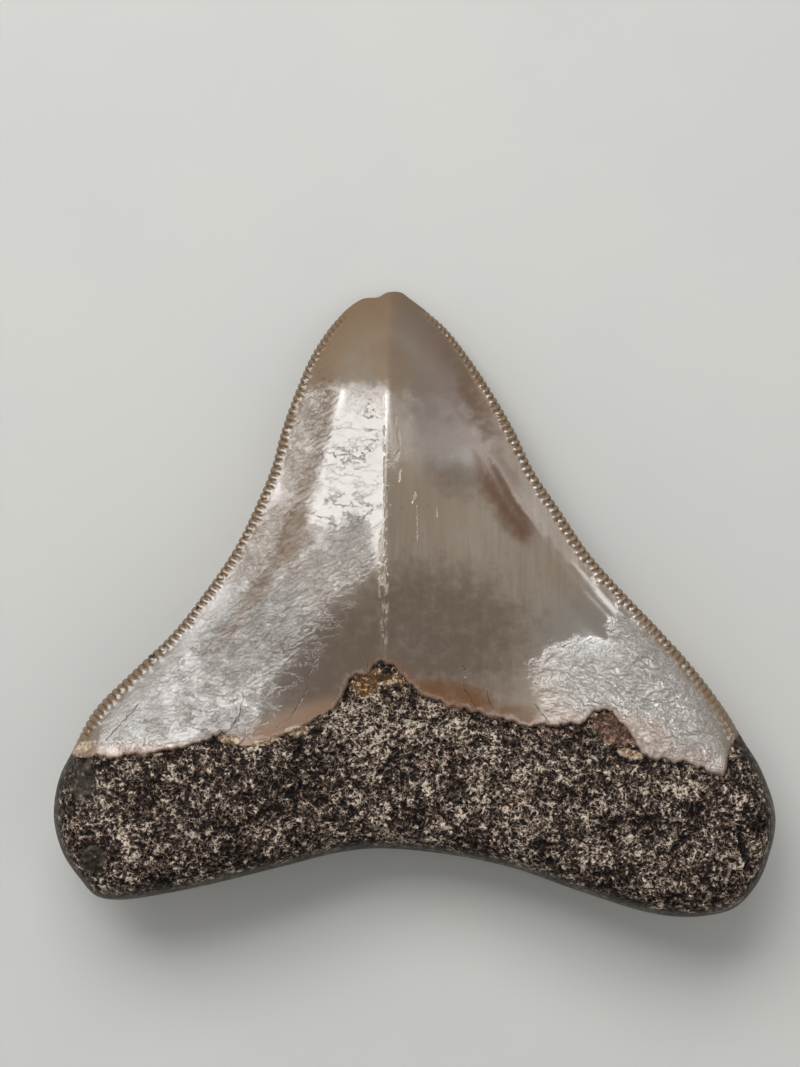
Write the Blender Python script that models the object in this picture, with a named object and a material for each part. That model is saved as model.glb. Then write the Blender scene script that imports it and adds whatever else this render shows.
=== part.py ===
"""A fossil megalodon tooth, lying on its tongue side with its lip side up.

The crown and the root grew as one piece, so the tooth is one solid. It is drawn in plan: a smooth
outline, a serrated cutting edge along it, and points inside that are joined by a Delaunay
triangulation. That plan is raised to the lip face on one side and sunk to the tongue face on the
other, and the two meet along the outline.

Lengths are in millimetres until the mesh is made. X runs across the root, Y from the root to the
tip, Z up, and z = 0 is the surface that the tooth rests on.
"""

import math

import bmesh
import bpy
import numpy as np
from mathutils import Vector, geometry, kdtree, noise

MM = 0.001

# The outline in plan, from the left shoulder over the tip to the right shoulder: the cutting edge.
CUTTING_EDGE = [
    (-34.4, -15.2), (-32.0, -10.7), (-28.1, -6.7), (-24.1, -2.8), (-20.9, 1.3), (-18.2, 5.3),
    (-16.2, 9.3), (-14.5, 13.4), (-13.4, 17.4), (-12.0, 21.4), (-10.2, 25.5), (-7.7, 29.0),
    (-5.3, 30.9), (-3.7, 31.1), (-2.7, 31.6), (-1.4, 31.6), (-0.4, 30.9), (3.0, 28.1), (5.3, 25.2),
    (7.8, 21.4), (10.1, 17.4), (12.0, 13.4), (14.7, 9.3), (17.4, 5.2), (20.9, 1.2),
    (24.7, -2.8), (28.2, -6.8), (31.1, -10.8), (32.9, -13.8),
]
# On from there, round the right lobe, along the arch under the root and round the left lobe.
ROOT_MARGIN = [
    (34.6, -16.5), (36.1, -21.3), (35.3, -25.6), (34.1, -28.2), (32.0, -30.4), (29.2, -31.2),
    (26.2, -31.3), (23.0, -30.8), (16.5, -28.8), (9.5, -26.5), (1.9, -25.1), (-3.5, -24.7),
    (-7.2, -25.0), (-13.3, -26.4), (-23.9, -28.8), (-29.5, -29.6), (-31.8, -29.2),
    (-33.4, -27.5), (-35.1, -25.0), (-36.0, -22.0), (-36.0, -19.7), (-35.4, -17.2),
]

# Heights along the middle of the tooth, as (y, z): the lip face, how far the rim of the root lies
# below it, the tongue face on the middle line, and the tongue face out at the sides.
LIP_PROFILE = [
    (31.7, 2.6), (27.0, 4.4), (22.5, 6.0), (15.0, 7.4), (8.0, 8.65), (3.0, 9.5), (0.0, 9.95),
    (-5.0, 10.4), (-10.0, 10.8), (-14.0, 11.1), (-18.0, 11.3), (-24.0, 11.6), (-32.0, 11.4),
]
RIM_BELOW_LIP = [(31.7, 0.0), (-9.0, 0.0), (-12.0, 0.7), (-15.0, 2.6), (-19.0, 5.2), (-32.0, 6.2)]
TONGUE_PROFILE = [
    (31.7, -0.6), (29.0, -1.4), (26.0, -0.9), (18.0, 0.7), (8.0, 1.3), (0.0, 1.1), (-5.0, 0.7),
    (-9.0, 0.1), (-12.0, -0.4), (-15.0, -0.4), (-18.0, 0.7), (-21.0, 2.4), (-25.0, 4.4),
    (-32.0, 5.4),
]
TONGUE_SIDES = [(31.7, 0.6), (20.0, 1.6), (5.0, 3.3), (-5.0, 4.6), (-12.0, 5.0), (-32.0, 5.6)]
BULGE_HALF_WIDTH, BULGE_FLATNESS = 17.0, 2.4  # of the swelling along the middle of the tongue face

# The lip face falls to the cutting edge, as (inset, fall), and a shallow groove runs along the
# bevel and fades out on the wings.
FALL_TO_EDGE = [
    (0.0, 1.8), (0.5, 1.45), (1.2, 1.08), (2.2, 0.79), (3.2, 0.66), (4.6, 0.56), (6.0, 0.45),
    (8.5, 0.27), (12.0, 0.0), (60.0, 0.0),
]
GROOVE = [
    (0.0, 0.0), (1.2, 0.0), (2.2, 0.04), (3.2, 0.08), (4.6, -0.05), (6.0, -0.04), (8.5, 0.0), (60.0, 0.0)
]
GROOVE_ENDS_Y, GROOVE_WHOLE_Y = -6.5, -1.5
# Its two wings flare up to the root, and leave a shallow hollow between them.
FLARE_TOP_Y, FLARE_BOTTOM_Y, FLARE_HEIGHT, FLARE_CURVE = 1.5, -16.5, 3.0, 1.5
FLARE_INNER, FLARE_OUTER = 3.0, 22.0  # how far from the middle it starts and is whole

# How the faces run in to the rim: a blade on the crown, a rounded margin on the root.
TONGUE_BEVEL, LEAST_BEVEL = 13.0, 0.5
LIP_ROUNDING, TONGUE_ROUNDING = 3.2, 6.0
CROWN_ROUNDNESS, ROOT_ROUNDNESS = 1.0, 0.5  # the exponent of the run-in: 1 is a blade, 0.5 a round
BLADE_ENDS_Y, ROUND_STARTS_Y = -9.0, -17.0

# The fine ridge down the middle of the lip face.
RIDGE_HEAD, RIDGE_FOOT = (-2.65, 30.0), (-3.3, -5.0)
RIDGE_HEIGHT, RIDGE_HALF_WIDTH, RIDGE_SHARPNESS = 0.52, 8.0, 1.5
RIDGE_FADE_AT_HEAD, RIDGE_FADE_AT_FOOT = 6.0, 9.0

# Serrations: pitch along the edge, depth of a notch, and the low rib that runs in from each one.
PITCH, NOTCH, RIB, RIB_START, RIB_LENGTH = 0.7, 0.2, 0.14, 0.3, 1.2
# Lengths of the edge that are worn smooth: at its two ends, and before and after the tip.
WORN_LEFT_END, WORN_BEFORE_TIP, WORN_AFTER_TIP, WORN_RIGHT_END = 3.5, 5.6, 3.4, 8.0

# Where the enamel ends, as (x, y). It stands a step above the root, with two chips on the lip face.
LIP_BORDER = [
    (-36.0, -15.0), (-31.0, -15.2), (-25.0, -14.5), (-21.5, -13.8), (-19.3, -13.0), (-17.0, -14.1),
    (-14.5, -13.5), (-12.0, -12.7), (-9.5, -11.3), (-7.6, -9.8), (-6.2, -7.5), (-4.7, -6.8),
    (-3.0, -6.0), (-1.5, -6.8), (0.0, -8.5), (3.0, -10.1), (6.0, -10.7), (9.5, -11.8),
    (13.0, -12.0), (16.2, -12.0), (17.7, -10.8), (19.4, -10.9), (20.9, -12.2), (22.0, -14.0),
    (22.9, -15.2), (25.0, -15.3), (27.5, -16.0), (29.2, -16.5), (30.5, -16.9), (31.2, -14.6),
    (32.2, -13.2), (36.0, -12.8),
]
ENAMEL_STEP, STEP_RUN = 0.4, 0.3
# On the tongue face a narrow chevron of bare dentine, the bourlette, lies between the two.
TONGUE_BORDER = [
    (-36.0, -15.2), (-30.0, -12.8), (-20.0, -8.6), (-10.0, -3.6), (-5.0, -1.2), (-2.0, -0.5),
    (1.0, -1.2), (6.0, -3.8), (16.0, -9.0), (26.0, -12.8), (36.0, -15.6),
]
BOURLETTE_FOOT = [
    (-36.0, -16.0), (-30.0, -14.8), (-20.0, -12.2), (-10.0, -8.4), (-5.0, -6.6), (-2.0, -6.0),
    (1.0, -6.6), (6.0, -8.6), (16.0, -12.4), (26.0, -14.9), (36.0, -16.4),
]
BOURLETTE_DEPTH = 0.3

# The root is spongy dentine, so it is lumpy, and blood vessels left holes in its tongue face.
LUMP_SIZE, LUMP_HEIGHT, LIP_LUMPS, TONGUE_LUMPS = 4.5, 0.35, 0.0, 7.0  # the last two are seeds
LUMP_ROUGHNESS, LUMP_FINENESS, LUMP_LAYERS = 0.8, 2.0, 3
RELIEF_FADE = 2.0  # how far in from the rim the lumps and the step reach their full height
FORAMINA = [(-1.6, -19.2, 0.9), (2.6, -8.6, 0.6), (-8.5, -19.5, 0.5)]  # x, y, radius
FORAMEN_DEPTH, FORAMEN_FLOOR, FORAMEN_BRIM = 1.0, 0.4, 1.4  # the last two in radii

# Spacing of the points in plan.
PLAN_HALF_WIDTH, PLAN_BOTTOM, PLAN_TOP = 37.0, -33.0, 32.0
ROOT_SPACING, CROWN_SPACING, LINE_SPACING = 1.7, 2.3, 1.0
CROWN_ROWS = ((0.55, 1), (1.25, 2), (2.5, 4))  # inset, and every so many rim points
ROOT_RIM_POINTS = 75
ROOT_ROWS = (18.0, 36.0, 54.0, 72.0)  # degrees round the rounded margin
GRID_FROM_RIM, LINES_FROM_RIM, GRID_FROM_LINES = 3.2, 1.3, 0.9
OUTLINE_STEP = 0.05

ENAMEL_COLOUR = (0.33, 0.27, 0.21, 1.0)
ROOT_COLOUR = (0.075, 0.058, 0.047, 1.0)


def smooth_curve(knots, closed=False, steps=40):
    """Points along the centripetal Catmull-Rom curve through the knots."""
    p = np.array(knots, float)
    p = np.vstack((p[-1:], p, p[:2])) if closed else np.vstack((2 * p[0] - p[1], p, 2 * p[-1] - p[-2]))
    t = np.linspace(0, 1, steps, endpoint=False)[:, None]
    out = []
    for a, b, c, d in zip(p, p[1:], p[2:], p[3:]):
        ab, bc, cd = (math.sqrt(math.dist(u, v)) for u, v in ((a, b), (b, c), (c, d)))
        leave = c - b + (b - a - (c - a) * ab / (ab + bc)) * bc / ab
        arrive = c - b + (d - c - (d - b) * cd / (bc + cd)) * bc / cd
        out.append(
            b * (1 + t * t * (2 * t - 3)) + c * t * t * (3 - 2 * t)
            + leave * t * (1 - t) ** 2 - arrive * t * t * (1 - t)
        )
    return np.vstack(out) if closed else np.vstack((*out, p[-2:-1]))


def lengths_along(points):
    return np.concatenate(([0.0], np.cumsum(np.linalg.norm(np.diff(points, axis=0), axis=1))))


def at_length(points, wanted):
    """The points at these lengths along a line of points."""
    along = lengths_along(points)
    return np.column_stack([np.interp(wanted, along, points[:, i]) for i in (0, 1)])


def profile(knots):
    """A smooth function through (place, height) knots."""
    line = smooth_curve(sorted(knots))
    return lambda v: np.interp(v, line[:, 0], line[:, 1])


def smooth_step(v):
    v = np.clip(v, 0, 1)
    return v * v * (3 - 2 * v)


def past(border, y):
    """0 below a border line and 1 above it, with the step in between."""
    return smooth_step((y - border) / STEP_RUN + 0.5)


def tree_of(points):
    tree = kdtree.KDTree(len(points))
    for i, (x, y) in enumerate(points):
        tree.insert((x, y, 0), i)
    tree.balance()
    return tree


def nearest(tree, xy):
    """For each point, the index of the nearest point in the tree and how far it is."""
    found = [tree.find((x, y, 0))[1:] for x, y in xy]
    return np.array([i for i, _ in found]), np.array([off for _, off in found])


class Outline:
    """The tooth's outline in plan, and what a point inside it needs to know of it."""

    def __init__(self):
        line = smooth_curve(CUTTING_EDGE + ROOT_MARGIN, closed=True)
        line = np.vstack((line, line[:1]))
        self.length = lengths_along(line)[-1]
        self.places = np.arange(0, self.length, OUTLINE_STEP)
        self.points = at_length(line, self.places)
        along = np.roll(self.points, -1, 0) - np.roll(self.points, 1, 0)
        self.inward = along[:, ::-1] * (1, -1) / np.linalg.norm(along, axis=1)[:, None]
        self.tree = tree_of(self.points)
        self.tip = self.points[:, 1].argmax()
        self.edge_length = self.places[nearest(self.tree, ROOT_MARGIN[:1])[0][0]]
        self.edge_tree = tree_of(self.points[self.places < self.edge_length])

    def inset(self, places, depth):
        """The points this far in from these places along the outline."""
        i = np.round(np.asarray(places) / OUTLINE_STEP).astype(int) % len(self.points)
        return self.points[i] + self.inward[i] * np.reshape(depth, (-1, 1))

    def half_width(self, y):
        """Half the crown's width at each y."""
        left, right = self.points[: self.tip + 1], self.points[self.tip :]
        right = right[right[:, 1].argsort()][:, ::-1]
        right = right[right[:, 0] > CUTTING_EDGE[-1][1]]
        return (np.interp(y, *right.T) - np.interp(y, left[:, 1], left[:, 0])) / 2

    def wear(self, place):
        """1 where the serrations are whole, and 0 at the worn tip and the two ends of the edge."""
        from_tip = place - self.places[self.tip]
        ends = smooth_step(place / WORN_LEFT_END) * smooth_step((self.edge_length - place) / WORN_RIGHT_END)
        return ends * np.maximum(
            smooth_step(-from_tip - WORN_BEFORE_TIP), smooth_step(from_tip - WORN_AFTER_TIP)
        )


class Faces:
    """The heights of the lip face, the tongue face and the rim over the plan."""

    def __init__(self, outline):
        self.outline = outline
        self.lip, self.below, self.fall = map(profile, (LIP_PROFILE, RIM_BELOW_LIP, FALL_TO_EDGE))
        self.groove, self.tongue, self.sides = map(profile, (GROOVE, TONGUE_PROFILE, TONGUE_SIDES))
        self.lip_border, self.tongue_border, self.bourlette_foot = map(
            profile, (LIP_BORDER, TONGUE_BORDER, BOURLETTE_FOOT)
        )

    def lip_form(self, xy):
        """The lip face as it would be with no rounding at the root's margin."""
        _, from_edge = nearest(self.outline.edge_tree, xy)
        down = np.clip((FLARE_TOP_Y - xy[:, 1]) / (FLARE_TOP_Y - FLARE_BOTTOM_Y), 0, 1)
        wing = smooth_step((np.abs(xy[:, 0]) - FLARE_INNER) / (FLARE_OUTER - FLARE_INNER))
        flare = FLARE_HEIGHT * down**FLARE_CURVE * wing
        grooved = smooth_step((xy[:, 1] - GROOVE_ENDS_Y) / (GROOVE_WHOLE_Y - GROOVE_ENDS_Y))
        fall = self.fall(from_edge) - self.groove(from_edge) * grooved
        return self.lip(xy[:, 1]) - fall + flare + self.ridge(xy)

    def rim(self, xy):
        return self.lip_form(xy) - self.below(xy[:, 1])

    def run_in(self, xy, inset, bevel, rounding):
        """0 at the rim and 1 once a face has reached its full height."""
        rootward = smooth_step((BLADE_ENDS_Y - xy[:, 1]) / (BLADE_ENDS_Y - ROUND_STARTS_Y))
        blade = np.clip(self.outline.half_width(xy[:, 1]), LEAST_BEVEL, bevel)
        reach = blade * (1 - rootward) + rounding * rootward
        power = CROWN_ROUNDNESS * (1 - rootward) + ROOT_ROUNDNESS * rootward
        return (1 - (1 - np.clip(inset / reach, 0, 1)) ** 2) ** power

    def ribs(self, place, inset):
        wave = 0.5 + 0.5 * np.cos(2 * math.pi * place / PITCH)
        reach = np.clip(1 - inset / RIB_LENGTH, 0, 1) * np.minimum(inset / RIB_START, 1)
        return RIB * wave * reach * self.outline.wear(place)

    def ridge(self, xy):
        middle = np.interp(xy[:, 1], (RIDGE_FOOT[1], RIDGE_HEAD[1]), (RIDGE_FOOT[0], RIDGE_HEAD[0]))
        foot = smooth_step((xy[:, 1] - RIDGE_FOOT[1]) / RIDGE_FADE_AT_FOOT)
        head = smooth_step((RIDGE_HEAD[1] - xy[:, 1]) / RIDGE_FADE_AT_HEAD)
        off = np.abs(xy[:, 0] - middle) / RIDGE_HALF_WIDTH
        return RIDGE_HEIGHT * foot * head * np.clip(1 - off, 0, 1) ** RIDGE_SHARPNESS

    def lumps(self, xy, seed):
        return LUMP_HEIGHT * np.array(
            [
                noise.fractal(
                    Vector((x / LUMP_SIZE, y / LUMP_SIZE, seed)), LUMP_ROUGHNESS, LUMP_FINENESS, LUMP_LAYERS
                )
                for x, y in xy
            ]
        )

    def lip_height(self, xy):
        near, inset = nearest(self.outline.tree, xy)
        place = self.outline.places[near]
        rounding = 1 - (1 - np.clip(inset / LIP_ROUNDING, 0, 1)) ** 2
        rim = self.rim(xy)
        above = self.below(xy[:, 1]) * rounding**ROOT_ROUNDNESS
        enamel = past(self.lip_border(xy[:, 0]), xy[:, 1])
        root = (1 - enamel) * (self.lumps(xy, LIP_LUMPS) - ENAMEL_STEP) * np.minimum(inset / RELIEF_FADE, 1)
        return rim + above + root + enamel * self.ribs(place, inset)

    def tongue_height(self, xy):
        near, inset = nearest(self.outline.tree, xy)
        place = self.outline.places[near]
        rim = self.rim(xy)
        swell = np.exp(-(np.abs(xy[:, 0] / BULGE_HALF_WIDTH) ** BULGE_FLATNESS))
        full = self.sides(xy[:, 1]) * (1 - swell) + self.tongue(xy[:, 1]) * swell
        below = (rim - full) * self.run_in(xy, inset, TONGUE_BEVEL, TONGUE_ROUNDING)
        enamel = past(self.tongue_border(xy[:, 0]), xy[:, 1])
        root = 1 - past(self.bourlette_foot(xy[:, 0]), xy[:, 1])
        relief = (1 - enamel) * (1 - root) * BOURLETTE_DEPTH + root * self.lumps(xy, TONGUE_LUMPS)
        z = rim - below - enamel * self.ribs(place, inset) + relief * np.minimum(inset / RELIEF_FADE, 1)
        for x, y, radius in FORAMINA:
            off = np.hypot(xy[:, 0] - x, xy[:, 1] - y) / radius
            z = z + FORAMEN_DEPTH * smooth_step((FORAMEN_BRIM - off) / (FORAMEN_BRIM - FORAMEN_FLOOR))
        return np.maximum(z, 0.0)


def rim_points(outline):
    """Places along the edge and along the root margin, and the outline's points, serrated on the edge."""
    edge = np.arange(0, outline.edge_length, PITCH / 2)
    notch = NOTCH * (np.arange(len(edge)) % 2) * outline.wear(edge)
    root = np.linspace(outline.edge_length, outline.length, ROOT_RIM_POINTS, endpoint=False)
    return edge, root, np.vstack((outline.inset(edge, notch), outline.inset(root, 0.0)))


def rows_inside(outline, edge, root, rounding):
    """Rows of points that follow the rim, close together where the faces are steep."""
    rows = [outline.inset(edge[::every], inset) for inset, every in CROWN_ROWS]
    for angle in ROOT_ROWS:
        rows.append(outline.inset(root, rounding * (1 - math.cos(math.radians(angle)))))
    return rows


def hex_grid(spacing, y_from, y_to):
    across = np.arange(-PLAN_HALF_WIDTH, PLAN_HALF_WIDTH, spacing)
    rows = np.arange(y_from, y_to, spacing * math.sqrt(0.75))
    return np.array([(x + spacing / 2 * (i % 2), y) for i, y in enumerate(rows) for x in across])


def beside(line, half_gap):
    """Two rows of points, either side of a line."""
    spots = at_length(line, np.arange(0, lengths_along(line)[-1], LINE_SPACING))
    along = np.gradient(spots, axis=0)
    across = half_gap * along[:, ::-1] * (1, -1) / np.linalg.norm(along, axis=1)[:, None]
    return [spots + across, spots - across]


def ring(x, y, radius):
    turns = np.arange(0, 2 * math.pi, math.pi / 4)
    return np.column_stack((x + radius * np.cos(turns), y + radius * np.sin(turns)))


def keep_inside(outline, xy, inset):
    """The points that lie inside the outline by this much or more."""
    near, off = nearest(outline.tree, xy)
    inside = ((xy - outline.points[near]) * outline.inward[near]).sum(1) > 0
    return xy[inside & (off > inset)]


def plan_points(outline, rows, special):
    """The points of one face in plan: rows at the rim, points along its features, and a grid."""
    special = keep_inside(outline, np.vstack(special), LINES_FROM_RIM)
    root_top = BLADE_ENDS_Y - ROOT_SPACING
    root_grid = hex_grid(ROOT_SPACING, PLAN_BOTTOM, root_top)
    grid = np.vstack((root_grid, hex_grid(CROWN_SPACING, root_top, PLAN_TOP)))
    grid = keep_inside(outline, grid, GRID_FROM_RIM)
    _, off = nearest(tree_of(special), grid)
    return np.vstack((*rows, special, grid[off > GRID_FROM_LINES]))


def add_face(mesh, rim, rim_z, inner, inner_z, up):
    """Joins rim and inner points in plan and adds the triangles, at their heights, to the mesh."""
    plan = [Vector(p) for p in np.vstack((rim, inner))]
    loop = [(i, (i + 1) % len(rim)) for i in range(len(rim))]
    placed, _, triangles, source, _, _ = geometry.delaunay_2d_cdt(plan, loop, [], 1, 1e-7)
    height = np.concatenate((rim_z, inner_z))
    corners = [
        mesh.verts.new((p.x * MM, p.y * MM, height[ids[0]] * MM)) for p, ids in zip(placed, source)
    ]
    for triangle in triangles:
        order = triangle if up else triangle[::-1]
        mesh.faces.new([corners[i] for i in order])


def make_tooth():
    outline = Outline()
    faces = Faces(outline)
    edge, root, rim = rim_points(outline)
    rim_z = faces.rim(rim)
    mesh = bmesh.new()

    rows = rows_inside(outline, edge, root, LIP_ROUNDING)
    ridge = np.array((RIDGE_HEAD, RIDGE_FOOT))
    crest = [at_length(ridge, np.arange(0, lengths_along(ridge)[-1], LINE_SPACING))]
    special = beside(smooth_curve(LIP_BORDER), STEP_RUN / 2) + crest + beside(ridge, LINE_SPACING)
    lip = plan_points(outline, rows, special)
    add_face(mesh, rim, rim_z, lip, faces.lip_height(lip), up=True)

    rows = rows_inside(outline, edge, root, TONGUE_ROUNDING)
    special = beside(smooth_curve(TONGUE_BORDER), STEP_RUN / 2)
    special += beside(smooth_curve(BOURLETTE_FOOT), STEP_RUN / 2)
    for x, y, radius in FORAMINA:
        special += [ring(x, y, radius * FORAMEN_FLOOR), ring(x, y, radius * FORAMEN_BRIM)]
    tongue = plan_points(outline, rows, special)
    add_face(mesh, rim, rim_z, tongue, faces.tongue_height(tongue), up=False)

    bmesh.ops.remove_doubles(mesh, verts=mesh.verts, dist=1e-6)
    bmesh.ops.recalc_face_normals(mesh, faces=mesh.faces)
    data = bpy.data.meshes.new("tooth")
    mesh.to_mesh(data)
    mesh.free()
    data.shade_smooth()
    data.set_sharp_from_angle(angle=math.radians(40))
    tooth = bpy.data.objects.new("tooth", data)
    tooth.data.materials.append(make_material("tooth_enamel", ENAMEL_COLOUR, 0.25))
    tooth.data.materials.append(make_material("tooth_root", ROOT_COLOUR, 0.8))
    for face in tooth.data.polygons:
        x, y = face.center.xy / MM
        border = faces.lip_border(x) if face.normal.z > 0 else faces.tongue_border(x)
        face.material_index = int(y < border)
    return tooth


def make_material(name, colour, roughness):
    material = bpy.data.materials.new(name)
    material.use_nodes = True
    shader = material.node_tree.nodes["Principled BSDF"]
    shader.inputs["Base Color"].default_value = colour
    shader.inputs["Roughness"].default_value = roughness
    shader.inputs["Metallic"].default_value = 0.0
    return material


def main():
    for old in list(bpy.data.objects):
        bpy.data.objects.remove(old)
    collection = bpy.data.collections.new("megalodon_tooth")
    bpy.context.scene.collection.children.link(collection)
    collection.objects.link(make_tooth())


main()
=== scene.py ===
"""A fossil megalodon tooth, lying on a pale table with its lip side up."""

import math

import bpy
import numpy as np
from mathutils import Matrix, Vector, geometry, kdtree, noise


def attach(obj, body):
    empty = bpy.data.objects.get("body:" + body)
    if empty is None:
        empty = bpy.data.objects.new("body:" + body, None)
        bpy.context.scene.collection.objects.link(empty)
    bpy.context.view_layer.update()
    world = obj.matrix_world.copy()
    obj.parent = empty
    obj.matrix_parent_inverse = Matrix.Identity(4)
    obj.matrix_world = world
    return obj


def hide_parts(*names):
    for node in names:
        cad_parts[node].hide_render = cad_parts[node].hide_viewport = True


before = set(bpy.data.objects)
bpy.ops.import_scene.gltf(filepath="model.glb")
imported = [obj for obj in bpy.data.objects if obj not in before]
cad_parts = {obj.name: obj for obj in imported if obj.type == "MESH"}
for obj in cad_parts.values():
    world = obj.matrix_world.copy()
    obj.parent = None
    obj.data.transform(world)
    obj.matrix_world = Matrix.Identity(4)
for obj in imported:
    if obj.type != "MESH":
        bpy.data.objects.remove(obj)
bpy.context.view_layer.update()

# ------------------------------------------------------------------------------------------------
# The body of the tooth. Crown and root grew as one piece, so it is one closed mesh: a plan view,
# joined up by triangles, raised to the lip face on one side and sunk to the tongue face on the
# other. Plan sizes are in millimetres, Y from the root to the tip, Z up from the table.
# ------------------------------------------------------------------------------------------------
MM = 0.001

# The outline, from the left shoulder over the tip to the right shoulder: the cutting edge.
CUTTING_EDGE = [
    (-34.4, -15.2), (-32.0, -10.7), (-28.1, -6.7), (-24.1, -2.8), (-20.9, 1.3), (-18.2, 5.3),
    (-16.2, 9.3), (-14.5, 13.4), (-13.4, 17.4), (-12.0, 21.4), (-10.2, 25.5), (-7.7, 29.0),
    (-5.3, 30.9), (-3.7, 31.1), (-2.7, 31.6), (-1.4, 31.6), (-0.4, 30.9), (3.0, 28.1), (5.3, 25.2),
    (7.8, 21.4), (10.1, 17.4), (12.0, 13.4), (14.7, 9.3), (17.4, 5.2), (20.9, 1.2),
    (24.7, -2.8), (28.2, -6.8), (31.1, -10.8), (32.9, -13.8),
]
# On from there, round the right lobe, along the arch under the root and round the left lobe.
ROOT_MARGIN = [
    (34.6, -16.5), (36.1, -21.3), (35.3, -25.6), (34.1, -28.2), (32.0, -30.4), (29.2, -31.2),
    (26.2, -31.3), (23.0, -30.8), (16.5, -28.8), (9.5, -26.5), (1.9, -25.1), (-3.5, -24.7),
    (-7.2, -25.0), (-13.3, -26.4), (-23.9, -28.8), (-29.5, -29.6), (-31.8, -29.2),
    (-33.4, -27.5), (-35.1, -25.0), (-36.0, -22.0), (-36.0, -19.7), (-35.4, -17.2),
]

# Heights along the middle, as (y, z): the lip face, how far the root's rim lies below it, the
# tongue face on the middle line, and the tongue face out at the sides.
LIP_PROFILE = [
    (31.7, 2.6), (27.0, 4.4), (22.5, 6.0), (15.0, 7.4), (8.0, 8.65), (3.0, 9.5), (0.0, 9.95),
    (-5.0, 10.4), (-10.0, 10.8), (-14.0, 11.1), (-18.0, 11.3), (-24.0, 11.6), (-32.0, 11.4),
]
RIM_BELOW_LIP = [(31.7, 0.0), (-9.0, 0.0), (-12.0, 0.7), (-15.0, 2.6), (-19.0, 5.2), (-32.0, 6.2)]
TONGUE_PROFILE = [
    (31.7, -0.6), (29.0, -1.4), (26.0, -0.9), (18.0, 0.7), (8.0, 1.3), (0.0, 1.1), (-5.0, 0.7),
    (-9.0, 0.1), (-12.0, -0.4), (-15.0, -0.4), (-18.0, 0.7), (-21.0, 2.4), (-25.0, 4.4),
    (-32.0, 5.4),
]
TONGUE_SIDES = [(31.7, 0.6), (20.0, 1.6), (5.0, 3.3), (-5.0, 4.6), (-12.0, 5.0), (-32.0, 5.6)]
BULGE_HALF_WIDTH, BULGE_FLATNESS = 17.0, 2.4

# The lip face falls to the cutting edge, as (inset, fall). A shallow groove runs along the bevel
# and fades out on the two wings, which flare up to the root. A fine ridge runs down the middle.
FALL_TO_EDGE = [
    (0.0, 1.8), (0.5, 1.45), (1.2, 1.08), (2.2, 0.79), (3.2, 0.66), (4.6, 0.56), (6.0, 0.45),
    (8.5, 0.27), (12.0, 0.0), (60.0, 0.0),
]
GROOVE = [
    (0.0, 0.0), (1.2, 0.0), (2.2, 0.04), (3.2, 0.08), (4.6, -0.05), (6.0, -0.04), (8.5, 0.0), (60.0, 0.0)
]
GROOVE_ENDS_Y, GROOVE_WHOLE_Y = -6.5, -1.5
FLARE_TOP_Y, FLARE_BOTTOM_Y, FLARE_HEIGHT, FLARE_CURVE = 1.5, -16.5, 3.0, 1.5
FLARE_INNER, FLARE_OUTER = 3.0, 22.0
RIDGE_HEAD, RIDGE_FOOT = (-2.65, 30.0), (-3.3, -5.0)
RIDGE_HEIGHT, RIDGE_HALF_WIDTH, RIDGE_SHARPNESS = 0.52, 8.0, 1.5
RIDGE_FADE_AT_HEAD, RIDGE_FADE_AT_FOOT = 6.0, 9.0

# How the faces run in to the rim: a blade on the crown, a rounded margin on the root.
TONGUE_BEVEL, LEAST_BEVEL = 13.0, 0.5
LIP_ROUNDING, TONGUE_ROUNDING = 3.2, 6.0
CROWN_ROUNDNESS, ROOT_ROUNDNESS = 1.0, 0.5
BLADE_ENDS_Y, ROUND_STARTS_Y = -9.0, -17.0

# Lengths of the edge that are worn smooth: at its two ends, and before and after the tip.
WORN_LEFT_END, WORN_BEFORE_TIP, WORN_AFTER_TIP, WORN_RIGHT_END = 3.5, 5.6, 3.4, 14.0

# Where the enamel ends, as (x, y), a step above the root. On the tongue face a chevron of bare
# dentine, the bourlette, lies between the two.
LIP_BORDER = [
    (-36.0, -15.0), (-31.0, -15.2), (-25.0, -14.5), (-21.5, -13.8), (-19.3, -13.0), (-17.0, -14.1),
    (-14.5, -13.5), (-12.0, -12.7), (-9.5, -11.3), (-7.6, -9.8), (-6.2, -7.5), (-4.7, -6.8),
    (-3.0, -6.0), (-1.5, -6.8), (0.0, -8.5), (3.0, -10.1), (6.0, -10.7), (9.5, -11.8),
    (13.0, -12.0), (16.2, -12.0), (17.7, -10.8), (19.4, -10.9), (20.9, -12.2), (22.0, -14.0),
    (22.9, -15.2), (25.0, -15.3), (27.5, -16.0), (29.2, -16.5), (30.5, -16.9), (31.2, -14.6),
    (32.2, -13.2), (36.0, -12.8),
]
TONGUE_BORDER = [
    (-36.0, -15.2), (-30.0, -12.8), (-20.0, -8.6), (-10.0, -3.6), (-5.0, -1.2), (-2.0, -0.5),
    (1.0, -1.2), (6.0, -3.8), (16.0, -9.0), (26.0, -12.8), (36.0, -15.6),
]
BOURLETTE_FOOT = [
    (-36.0, -16.0), (-30.0, -14.8), (-20.0, -12.2), (-10.0, -8.4), (-5.0, -6.6), (-2.0, -6.0),
    (1.0, -6.6), (6.0, -8.6), (16.0, -12.4), (26.0, -14.9), (36.0, -16.4),
]
ENAMEL_STEP, STEP_RUN, BOURLETTE_DEPTH = 0.4, 0.2, 0.3
BORDER_CHIPS = [(2.2, 0.35, 3.0), (0.6, 0.25, 8.0)]  # size, depth and seed of its irregular line

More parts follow.
